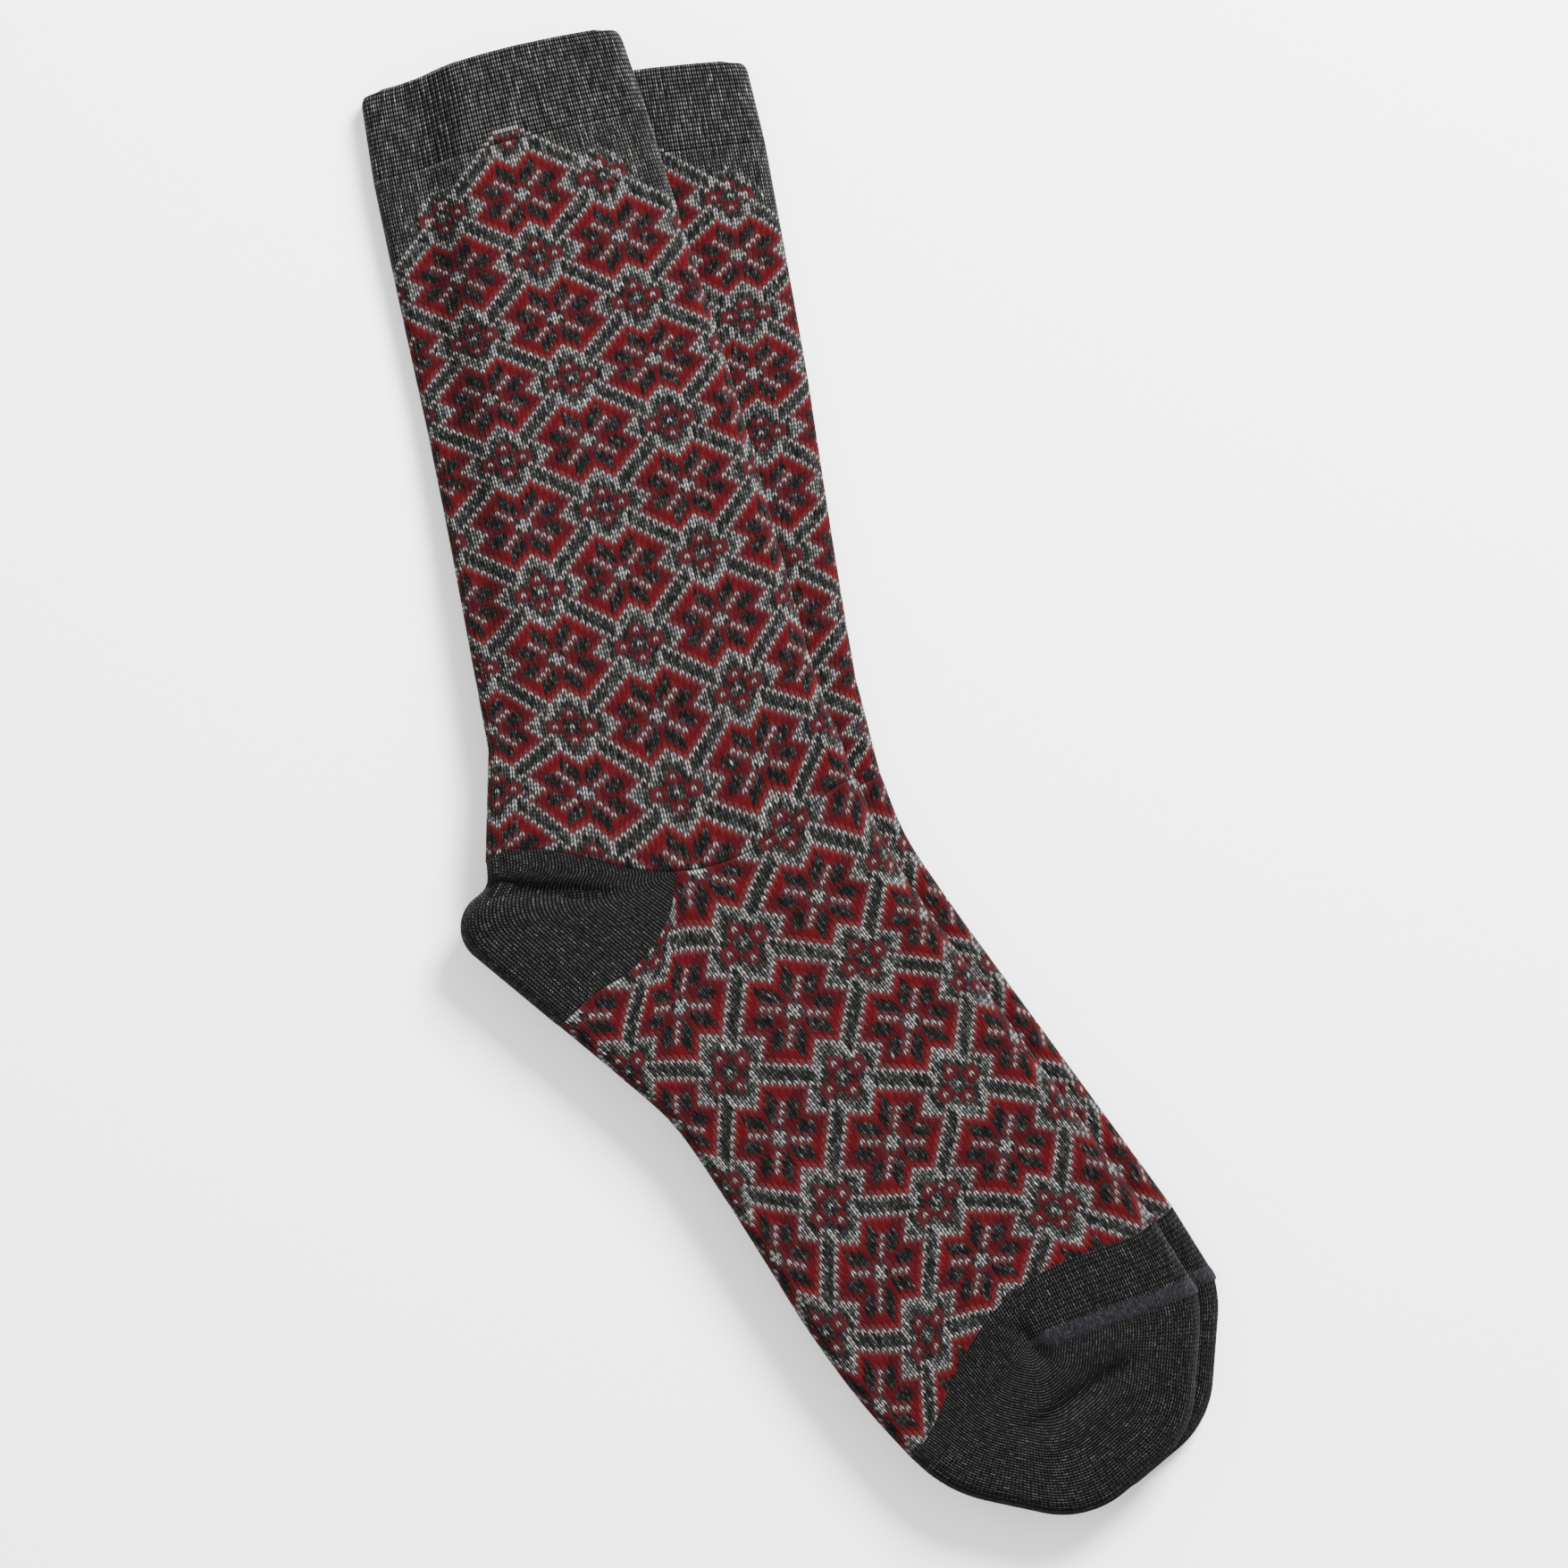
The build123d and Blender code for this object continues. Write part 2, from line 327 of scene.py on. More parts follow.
# %% [markdown]
# ## A flattened tube
# Laid flat, the tube is a long oval: two flat sides joined by two round edges. Stitches are
# spaced evenly round it, so near an edge they turn over and look narrower from above. Going
# round by wale number, this step finds how far each stitch is from the back edge and how high it
# stands above the middle of the sock.

# %% Round the tube
HALF = 4.5
ROUND_EXTRA = (pi / 2 - 1) * HALF


def round_edge(walked, flat_width, half=HALF):
    """Walk the surface from the back edge: a quarter circle, the flat, a quarter circle. Gives the
    place seen from above, from 0 to the flat width, and the height above the middle."""
    extra = (pi / 2 - 1) * half
    whole = flat_width + 2 * extra
    near = np.clip(walked / half, 0, pi / 2)
    far = np.clip((whole - walked) / half, 0, pi / 2)
    place = np.where(walked < whole / 2, half * (1 - np.cos(near)), flat_width - half * (1 - np.cos(far)))
    on_flat = (walked >= half * pi / 2) & (walked <= whole - half * pi / 2)
    place = np.where(on_flat, walked - extra, place)
    lift = half * np.sin(np.minimum(near, far))
    return place, lift


def round_tube(wale, star, flat_width):
    """Share of the flat width from the back edge, and signed height, for each wale: the upper side
    between the two edge wales and the underside for the rest, each spaced evenly."""
    edges = smooth_through(star, EDGE_STARS, EDGE_WALES)
    back, front = edges[..., 0], edges[..., 1]
    whole = flat_width + 2 * ROUND_EXTRA
    turned = (wale - back) % WALES_ROUND
    upper_wales = front - back
    over = turned <= upper_wales
    under_share = (WALES_ROUND - turned) / (WALES_ROUND - upper_wales)
    walked = np.where(over, turned / upper_wales, under_share) * whole
    place, lift = round_edge(walked, flat_width)
    return place / flat_width, np.where(over, lift, -lift)


def through_five(share, nodes, points):
    """The smooth curve through five points across the tube: each point's weight is the product of
    the distances to the other nodes, divided by the same product at its own node."""
    result = 0
    for k in range(5):
        weight = np.ones_like(share)
        for other in range(5):
            if other != k:
                weight = weight * (share - nodes[..., other]) / (nodes[..., k] - nodes[..., other])
        result = result + weight[..., None] * points[..., k, :]
    return result


def same_shape(wale, course):
    """Wales and courses as arrays of numbers that have one shape."""
    return np.broadcast_arrays(np.asarray(wale, float), np.asarray(course, float))


def across_tube(star, landmarks):
    """A course's five landmarks, its flat width, and where the five stand as shares of that width."""
    points = landmarks(star)
    flat_width = np.linalg.norm(np.diff(points, axis=-2), axis=-1).sum(-1)
    marks = [round_tube(np.full_like(flat_width, w), star, flat_width)[0] for w in (-15.0, 0.0, 15.0)]
    return points, flat_width, np.stack([np.zeros_like(flat_width), *marks, np.ones_like(flat_width)], -1)


def on_tube(wale, star, landmarks):
    """Flat place and lift of each stitch: the tube's section, bent along the course's landmarks."""
    points, flat_width, nodes = across_tube(star, landmarks)
    share, lift = round_tube(wale, star, flat_width)
    return through_five(share, nodes, points), share, lift


HEEL_STAR = 10.0 - 0.5 / 15
TOE_STAR = 16.67
TIP_WALE = -3.0
print("flat width at the heel:", across_tube(np.array([HEEL_STAR]), leg_landmarks)[1].round(1))

# %% Stitches of the leg and the foot
def leg_stitches(wale, course):
    """The leg and cuff: the tube on the leg's landmarks."""
    wale, course = same_shape(wale, course)
    flat, _, lift = on_tube(wale, course / 15, leg_landmarks)
    return flat, lift


def heel_share(wale):
    """How far across the tube each wale is where the heel begins, 0 at the back edge."""
    wale = np.asarray(wale, float)
    return on_tube(wale, np.full_like(wale, HEEL_STAR), leg_landmarks)[1]


TIP_SHARE = float(heel_share(np.array([TIP_WALE]))[0])
HEEL_TIP = leg_stitches(np.array([TIP_WALE]), np.array([HEEL_STAR * 15]))[0][0]
HEEL_LOW_END = from_foot((3.6, -51.2))
LOW_LINE = np.array([HEEL_TIP, (-9.8, -1.4), (-15.5, -8.0), (-22.5, -13.0), (-33.0, -16.8), HEEL_LOW_END])
LOW_RUN = np.concatenate([[0], np.cumsum(np.linalg.norm(np.diff(LOW_LINE, axis=0), axis=1))])


def heel_low_line(out):
    """The line where heel meets foot, from the tip (0) to the silhouette (1)."""
    return smooth_through(out, LOW_RUN / LOW_RUN[-1], LOW_LINE)


def foot_stitches(wale, course):
    """The foot: the tube on the foot's landmarks, pulled at its first courses to the edge that the
    leg and the heel leave, and let go smoothly within the next eighteen courses."""
    wale, course = same_shape(wale, course)
    star = course / 15
    flat, share, lift = on_tube(wale, star, foot_landmarks)
    start = np.full_like(star, HEEL_STAR)
    plain, _, _ = on_tube(wale, start, foot_landmarks)
    leg_end, leg_share, _ = on_tube(wale, start, leg_landmarks)
    out = np.clip(1 - leg_share / TIP_SHARE, 0, 1)
    edge = np.where((leg_share < TIP_SHARE)[..., None], heel_low_line(out), leg_end)
    hold = np.clip(1 - (star - HEEL_STAR) / 1.2, 0, 1) ** 2
    return flat + hold[..., None] * (edge - plain), lift


print("heel tip:", np.round(HEEL_TIP, 1).tolist(), "share", round(TIP_SHARE, 3))

# %% [markdown]
# ## Turned heel and toe
# A machine-knitted heel is a pouch. Short courses swing round one point, like the ribs of a fan,
# while the wales run as arcs about it. The toe is the same fan about another point, closed by a
# seam on the instep. So both use polar coordinates: how far out from the pivot, and how far
# round. The outline they reach is made of straight runs and arcs.

# %% Rounded outline
def rounded_outline(corners, step=0.5):
    """A closely spaced line through corners (x, y, radius): each corner's arc starts at the
    radius times the tangent of half its turn before it, and bends by the whole turn."""
    places = np.array([c[:2] for c in corners], float)
    pieces = [places[:1]]
    for k in range(1, len(corners) - 1):
        before = places[k] - places[k - 1]
        after = places[k + 1] - places[k]
        before, after = before / np.linalg.norm(before), after / np.linalg.norm(after)
        turn = np.arctan2(before[0] * after[1] - before[1] * after[0], before @ after)
        radius = corners[k][2]
        cut = radius * tan(abs(turn) / 2)
        side = np.array([-before[1], before[0]]) * np.sign(turn)
        centre = places[k] - before * cut + side * radius
        angles = np.linspace(0, abs(turn), max(3, int(radius * abs(turn) / step)))[:, None]
        pieces.append(centre - side * radius * np.cos(angles) + before * radius * np.sin(angles))
    pieces.append(places[-1:])
    line = np.concatenate(pieces)
    run = np.concatenate([[0], np.cumsum(np.linalg.norm(np.diff(line, axis=0), axis=1))])
    even = np.linspace(0, run[-1], int(run[-1] / step))
    return np.stack([np.interp(even, run, line[:, 0]), np.interp(even, run, line[:, 1])], -1)


def between(line, start, end):
    """The part of a line between the points nearest to start and end."""
    first = np.linalg.norm(line - start, axis=1).argmin()
    last = np.linalg.norm(line - end, axis=1).argmin()
    return line[first : last + 1]


def at_share(line, share):
    """Points at a share, from 0 to 1, of a line's length."""
    run = np.concatenate([[0], np.cumsum(np.linalg.norm(np.diff(line, axis=0), axis=1))])
    there = np.asarray(share) * run[-1]
    return np.stack([np.interp(there, run, line[:, 0]), np.interp(there, run, line[:, 1])], -1)


heel_corners = [(-62, -28, 0), (-37.5, -44, 5), (-37, -61, 10), (45, -41.5, 0)]
heel_outline = from_foot(rounded_outline(heel_corners))
heel_high_end = leg_landmarks(np.array([HEEL_STAR]))[0, 0]
heel_rim = between(heel_outline, heel_high_end, HEEL_LOW_END)
heel_rim[0], heel_rim[-1] = heel_high_end, HEEL_LOW_END
sole_corners = [(125, -48.5, 0), (165, -44, 38.4), (195, -18, 25.6)]
instep_corners = [(193, 18, 25.6), (163, 44.5, 32), (120, 45.1, 0)]
toe_outline = rounded_outline(sole_corners + instep_corners)
toe_rim = between(toe_outline, (157.5, -45.0), (161.2, 43.5))
print("heel rim", len(heel_rim), "points, toe rim", len(toe_rim))

# %% Heel and toe stitches
HEEL_COURSES = 64
FAN_COURSES = 96
STRIP_COURSES = 14
TOE_PIVOT = np.array([147.0, -2.5])
TOE_WALE = -1.5


def fan(out, turn, high, low, rim):
    """A patch swung about a pivot: the first and last ribs blended, and the rim's bulge added in
    proportion to the way out (a Coons patch with one side shrunk to the pivot)."""
    before, after = (1 - turn)[..., None], turn[..., None]
    bulge = rim(turn) - (before * rim(np.zeros_like(turn)) + after * rim(np.ones_like(turn)))
    return before * high(out) + after * low(out) + out[..., None] * bulge


def heel_stitches(wale, course):
    """The heel: course 0 is the first, beside the leg, and HEEL_COURSES the last, beside the foot."""
    wale, course = same_shape(wale, course)
    turn = np.clip(course / HEEL_COURSES, 0, 1)
    star = np.full_like(wale, HEEL_STAR)
    _, share, lift = on_tube(wale, star, leg_landmarks)
    points, _, nodes = across_tube(star, leg_landmarks)
    out = np.clip(1 - share / TIP_SHARE, 0, None)

    def high(o):
        return through_five(np.clip(1 - o, 0, 1.2) * TIP_SHARE, nodes, points)

    return fan(out, turn, high, heel_low_line, lambda s: at_share(heel_rim, s)), lift


def toe_share(wale):
    """How far across the tube each wale is where the toe begins."""
    wale = np.asarray(wale, float)
    return on_tube(wale, np.full_like(wale, TOE_STAR), foot_landmarks)[1]


PIVOT_SHARE = float(toe_share(np.array([TOE_WALE]))[0])


def strip_stitches(wale, course):
    """The toe's first courses: from the toe line to a line through the pivot, whose instep half is
    the seam."""
    wale, course = same_shape(wale, course)
    star = np.full_like(wale, TOE_STAR)
    start, share, lift = on_tube(wale, star, foot_landmarks)
    sole = np.clip(share / PIVOT_SHARE, 0, 1)[..., None]
    instep = np.clip((share - PIVOT_SHARE) / (1 - PIVOT_SHARE), 0, 1)[..., None]
    end = toe_rim[0] * (1 - sole) + TOE_PIVOT * (sole - instep) + toe_rim[-1] * instep
    done = np.clip(course / STRIP_COURSES, 0, 1)[..., None]
    return start * (1 - done) + from_foot(end) * done, lift


def toe_rib(end):
    """A straight rib of the toe's fan, from the pivot to a point on the rim."""
    return lambda o: TOE_PIVOT + o[..., None] * (end - TOE_PIVOT)


def toe_stitches(wale, course):
    """The toe's fan, from the sole round the tip of the foot to the seam."""
    wale, course = same_shape(wale, course)
    turn = np.clip(course / FAN_COURSES, 0, 1)
    star = np.full_like(wale, TOE_STAR)
    _, share, lift = on_tube(wale, star, foot_landmarks)
    out = np.clip(1 - share / PIVOT_SHARE, 0, None)
    first, last = toe_rib(toe_rim[0]), toe_rib(toe_rim[-1])
    flat = fan(out, turn, first, last, lambda s: at_share(toe_rim, s))
    return from_foot(flat), lift


print("toe pivot share:", round(PIVOT_SHARE, 3))

# %% [markdown]
# ## Laying the socks
# The under sock lies on the table. Its leg leans a little and is a little shorter. The upper sock
# lies on it, and where its leg hangs over the other's back edge the cloth falls to the table.
# Both are the same knitting, so one function per part is enough, followed by this placing.

# %% Placing a sock
LEAN = radians(5.6)
LOWER_SHIFT = (6.0, 1.5)
STACK = 9.5
FALL_FROM, FALL_TO, FALL_RUN = 32.0, 150.0, 14.0


def ease(x):
    """Smooth step from 0 to 1."""
    x = np.clip(x, 0, 1)
    return x * x * (3 - 2 * x)


def peep(flat, lift):
    """Height of a stitch, with the cuff's rear layer pushed up a little past the front one, and
    the last of the leg drawn up by 3 mm, more at the middle of the opening than at its corners."""
    x, y = flat[..., 0], flat[..., 1]
    rear = np.clip(-lift / HALF, 0, 1)
    drawn = ease((y - 185) / 44) * (3.0 + 1.8 * np.cos(np.clip((x - 6) / 32, -1, 1) * pi / 2))
    return y + drawn + 0.8 * rear * ease((y - 214) / 15) * np.cos(x / 30)


def lay_lower(flat, lift):
    """The under sock: shorten the leg, turn it about the ankle, shift it, and stand it on the table."""
    x, y = flat[..., 0], peep(flat, lift)
    y = y * (1 - 0.055 * ease(y / 60))
    angle = LEAN * ease((y + 12) / 62)
    x = x + 2.2 * ease((y - 60) / 150)
    across = x * np.cos(angle) + y * np.sin(angle) + LOWER_SHIFT[0]
    up = -x * np.sin(angle) + y * np.cos(angle) + LOWER_SHIFT[1]
    return np.stack([across, up, HALF + lift], -1) * MM


def lay_upper(flat, lift):
    """The upper sock: stand it on the other, let the back of the leg fall, crown its top, and let
    the leg sway back a little towards the cuff."""
    x, y = flat[..., 0], peep(flat, lift)
    back, front = leg_edges(np.clip(y, 0, 226))
    overhang = LOWER_SHIFT[0] + y * tan(LEAN)
    fold = np.maximum(-back + overhang, -back + HALF + 1)
    foot_of_fall = np.maximum(fold - FALL_RUN, -back + HALF + 0.5)
    drop = STACK * np.clip((y - FALL_FROM) / (FALL_TO - FALL_FROM), 0, 1)
    fallen = 1 - ease((x - foot_of_fall) / (fold - foot_of_fall))
    ripple = 0.22 * np.sin(y / 9.0 + x / 17.0) + 0.18 * np.sin(y / 23.0 - x / 8.0 + 1.3)
    sway = 1.6 * ease((y - 100) / 110)
    puff = np.where(lift > 0, (0.45 + ripple) * np.clip(lift / HALF, 0, 1) ** 2, 0)
    return np.stack([x - sway, y, STACK + HALF + lift + puff - drop * fallen], -1) * MM


def crease(place, ends, width, depth, fade):
    """Depth of a crease along a straight line: a bell curve of the distance to the line, faded at
    its ends over a given length."""
    start, end = np.asarray(ends, float)
    way = end - start
    length = np.linalg.norm(way)
    way = way / length
    along = (place - start) @ way
    off = (place - start) @ np.array([-way[1], way[0]])
    window = ease((along + fade) / fade) * ease((length + fade - along) / fade)
    return depth * window * np.exp(-((off / width) ** 2))


def pressed(flat, lift, part, swell):
    """The upper surface with its creases: one across the back of the heel, under the band, a long
    one over the toe, and a short one down from the end of the toe seam. Swell raises the cloth
    beside them on the upper sock, which has nothing over it."""
    over = np.clip(lift / HALF, 0, 1)
    deep = 0.6 + 0.4 * swell
    if part == "heel":
        sink = crease(flat, [(-56, 17.2), (-30, 9.0)], 2.5, 2.9, 11.0)
        sink = sink - swell * crease(flat, [(-58, 9.5), (-30, 3.0)], 4.5, 1.3, 8.0)
        return lift - over * deep * sink
    if part == "toe":
        sink = crease(flat, [(74.5, -149.8), (55.0, -157.2)], 2.7, 3.0, 11.0)
        sink = sink + crease(flat, [(54.5, -133.0), (57.5, -139.5)], 2.7, 1.9, 6.0)
        sink = sink - swell * crease(flat, [(80.0, -154.5), (55.0, -164.5)], 3.5, 0.9, 7.0)
        sink = sink - swell * crease(flat, [(77.0, -141.5), (64.0, -147.0)], 3.0, 0.7, 6.0)
        return lift - over * deep * sink
    return lift


def placed(stitches, lay, part="", swell=0.0):
    """One sock's own place for each stitch: knit coordinates in, metres on the table out."""

    def place(wale, course):
        flat, lift = stitches(wale, course)
        return lay(flat, pressed(flat, lift, part, swell))

    return place


socks = {
    "upper": {"lay": lay_upper, "shift": 0, "body": "upper_sock", "seed": 11, "swell": 1.0},
    "lower": {"lay": lay_lower, "shift": 3, "body": "lower_sock", "seed": 47, "swell": 0.0},
}
ankle = placed(leg_stitches, lay_upper)(np.array([0.0]), np.array([120.0]))
print("upper ankle:", np.round(ankle, 4).tolist())

# %% [markdown]
# ## Knitting a wall of stitches
# Each stitch has two legs, and from outside they make a narrow arrowhead that points to the cuff.
# Four columns of faces to a wale and one row to a course are enough: the rows zigzag, so that each
# row of faces is a row of arrowheads, and the crown of each leg stands above the gaps. The wall
# gets an inner skin, with fewer rows, so that it is closed and has its real thickness.

# %% Mesh of a knitted wall
WALL = 1.5
GAP_DEPTH, MIDDLE_DEPTH = 0.30, 0.14
ARROW_COURSES = 0.9
INNER_STEP = 9


def smooth_normals(place, wale, course, up):
    """Outward normals: the cross product of the small steps along the wale and along the course."""
    step = 0.2
    across = place(wale + step, course) - place(wale - step, course)
    along = place(wale, course + step) - place(wale, course - step)
    normal = np.cross(along, across)
    length = np.linalg.norm(normal, axis=-1, keepdims=True)
    flat_up = np.zeros_like(normal)
    flat_up[..., 2] = up
    return np.where(length > 1e-12, normal / np.maximum(length, 1e-12), flat_up)


def skin(place, wale, course):
    """Places of a grid of stitches and their outward normals, vertical where cloth shrinks to a point."""
    spots = place(wale, course)
    up = np.where(spots[..., 2] > spots[..., 2].mean(), 1.0, -1.0)
    return spots, smooth_normals(place, wale, course, up)


def arrowheads(wale, amount):
    """Shift of a row of stitches along the wale: highest, towards the cuff, at a stitch's centre."""
    across = (wale + 0.5) % 1
    return (2 * np.abs(across - 0.5) - 0.5) * amount


def legs_relief(wale, gap_depth, middle_depth):
    """Height of the surface across a wale: 0 on the crowns of the two legs, lower between them."""
    across = (wale + 0.5) % 1
    near_gap = np.clip(1 - 4 * np.minimum(across, 1 - across), 0, 1)
    near_middle = np.clip(1 - 4 * np.abs(across - 0.5), 0, 1)
    return -gap_depth * near_gap - middle_depth * near_middle


def mesh_from_grid(name, grid, closed, colours, knit_places):
    """A mesh from a grid of points whose rows form a loop. Faces turn outwards; each face has a
    colour, and each corner its wale and course as a UV."""
    rows, columns = grid.shape[:2]
    last = columns if closed else columns - 1
    r, k = np.meshgrid(np.arange(rows), np.arange(last), indexing="ij")
    next_row = (r + 1) % rows
    next_column = (k + 1) % columns
    near, far = r * columns, next_row * columns
    faces = np.stack([near + k, far + k, far + next_column, near + next_column], -1).reshape(-1, 4)
    mesh = bpy.data.meshes.new(name)
    mesh.vertices.add(rows * columns)
    mesh.vertices.foreach_set("co", grid.reshape(-1).astype(np.float32))
    mesh.loops.add(faces.size)
    mesh.loops.foreach_set("vertex_index", faces.reshape(-1).astype(np.int32))
    mesh.polygons.add(len(faces))
    mesh.polygons.foreach_set("loop_start", np.arange(0, faces.size, 4, dtype=np.int32))
    mesh.polygons.foreach_set("use_smooth", np.ones(len(faces), bool))
    mesh.update(calc_edges=True)
    # The fourth number of each face's colour is not colour: it is the floor of the painted gap shade.
    yarn = mesh.color_attributes.new("yarn", "FLOAT_COLOR", "CORNER")
    paint = np.ones((len(faces), 4, 4), np.float32)
    paint[...] = colours.reshape(-1, 1, 4)
    yarn.data.foreach_set("color", paint.reshape(-1))
    wale, course = knit_places
    step = np.array([wale[1] - wale[0]]) if len(wale) > 1 else np.array([0.25])
    corner_wale = np.stack([wale[k], wale[k], wale[k] + step, wale[k] + step], -1)
    corner_course = np.stack([course[r], course[next_row], course[next_row], course[r]], -1)
    knit_uv = np.stack([corner_wale / 120 + 0.5, corner_course / 400 + 0.1], -1)
    uv = mesh.uv_layers.new(name="stitches")
    uv.data.foreach_set("uv", knit_uv.reshape(-1).astype(np.float32))
    return mesh


def weld(mesh):
    """Merge points that lie on each other at a pivot and drop the faces that this flattens."""
    work = bmesh.new()
    work.from_mesh(mesh)
    bmesh.ops.remove_doubles(work, verts=work.verts, dist=1.5e-6)
    work.to_mesh(mesh)
    work.free()
    mesh.update()


def show(mesh, sock, part, material):
    """Link a mesh as a finished piece: its material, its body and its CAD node."""
    piece = bpy.data.objects.new(mesh.name, mesh)
    bpy.context.scene.collection.objects.link(piece)
    mesh.materials.append(material)
    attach(piece, socks[sock]["body"])
    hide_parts(f"{sock}_{part}")
    triangles = sum(len(p.vertices) - 2 for p in mesh.polygons)
    places = np.zeros(len(mesh.vertices) * 3, np.float32)
    mesh.vertices.foreach_get("co", places)
    places = places.reshape(-1, 3) * 1000
    print(mesh.name, "triangles", triangles, "from", places.min(0).round(1), "to", places.max(0).round(1))


def leg_colours_at(colours, first_course, wale, course):
    """Pick each face's colour: the course it is in, and which of the stitch's two legs."""
    leg = np.floor((wale + 0.125 + 60.5) * 2).astype(int) % (2 * WALES_ROUND)
    row = np.clip(np.floor(course + 0.5).astype(int) - first_course, 0, len(colours) - 1)
    return colours[row[:, None], leg[None, :]]


def knitted_wall(name, place, wale, course, colours, first_course, closed=True):
    """A closed wall of stitches: an outer skin with arrowhead rows and relief, and an inner skin
    one wall thickness in, with every ninth course."""
    ends = np.ones(len(course))
    ends[[0, -1]] = 0
    bent = course[:, None] + arrowheads(wale, ARROW_COURSES)[None, :] * ends[:, None]
    spots, normal = skin(place, np.broadcast_to(wale[None, :], bent.shape), bent)
    relief = legs_relief(wale, GAP_DEPTH, MIDDLE_DEPTH)[None, :, None] * MM
    outer = spots + normal * relief * ends[:, None, None]
    inner_course = np.unique(np.concatenate([course[::INNER_STEP], course[-1:]]))[::-1]
    inner_spots, inner_normal = skin(place, *np.meshgrid(wale, inner_course))
    inner = inner_spots - inner_normal * WALL * MM
    grid = np.concatenate([outer, inner])
    all_courses = np.concatenate([course, inner_course])
    columns = wale if closed else wale[:-1]
    paint = leg_colours_at(colours, first_course, columns, all_courses)
    # Painted shade: the inner skin and the rims that join it to the outer one are a quarter darker.
    paint[len(course) - 1 :, :, :3] *= 0.75
    mesh = mesh_from_grid(name, grid, closed, paint, (wale, all_courses))
    if not closed:
        weld(mesh)
    return mesh


one_wale = np.arange(-0.5, 0.5, 0.25)
print("relief across a wale:", legs_relief(one_wale, GAP_DEPTH, MIDDLE_DEPTH).round(2).tolist())

# %% [markdown]
# ## Wool
# Wool is matt with a soft sheen from its fuzz. The stitch colours come with the mesh, so the
# material only adds what is finer than a stitch: fibre streaks along each leg, light and dark
# flecks of the marl, painted shade in the gaps round each leg and between the wales of plain
# grey, and a bump that rounds each leg over. All of it reads the wale and course of the surface,
# so it follows the knitting round every bend.

# %% Knit material
class Nodes:
    """A small helper that adds nodes to one material and links them by plain calls."""

    def __init__(self, material):
        material.use_nodes = True
        self.tree = material.node_tree
        self.shader = self.tree.nodes["Principled BSDF"]

    def add(self, kind, **settings):
        node = self.tree.nodes.new(kind)
        for key, value in settings.items():
            setattr(node, key, value)
        return node

    def join(self, source, target):
        self.tree.links.new(source, target)

    def maths(self, operation, first, second=None, third=None):
        node = self.add("ShaderNodeMath", operation=operation)
        for socket, value in zip(node.inputs, (first, second, third)):
            if value is None:
                continue
            if isinstance(value, (int, float)):
                socket.default_value = value
            else:
                self.join(value, socket)
        return node.outputs[0]


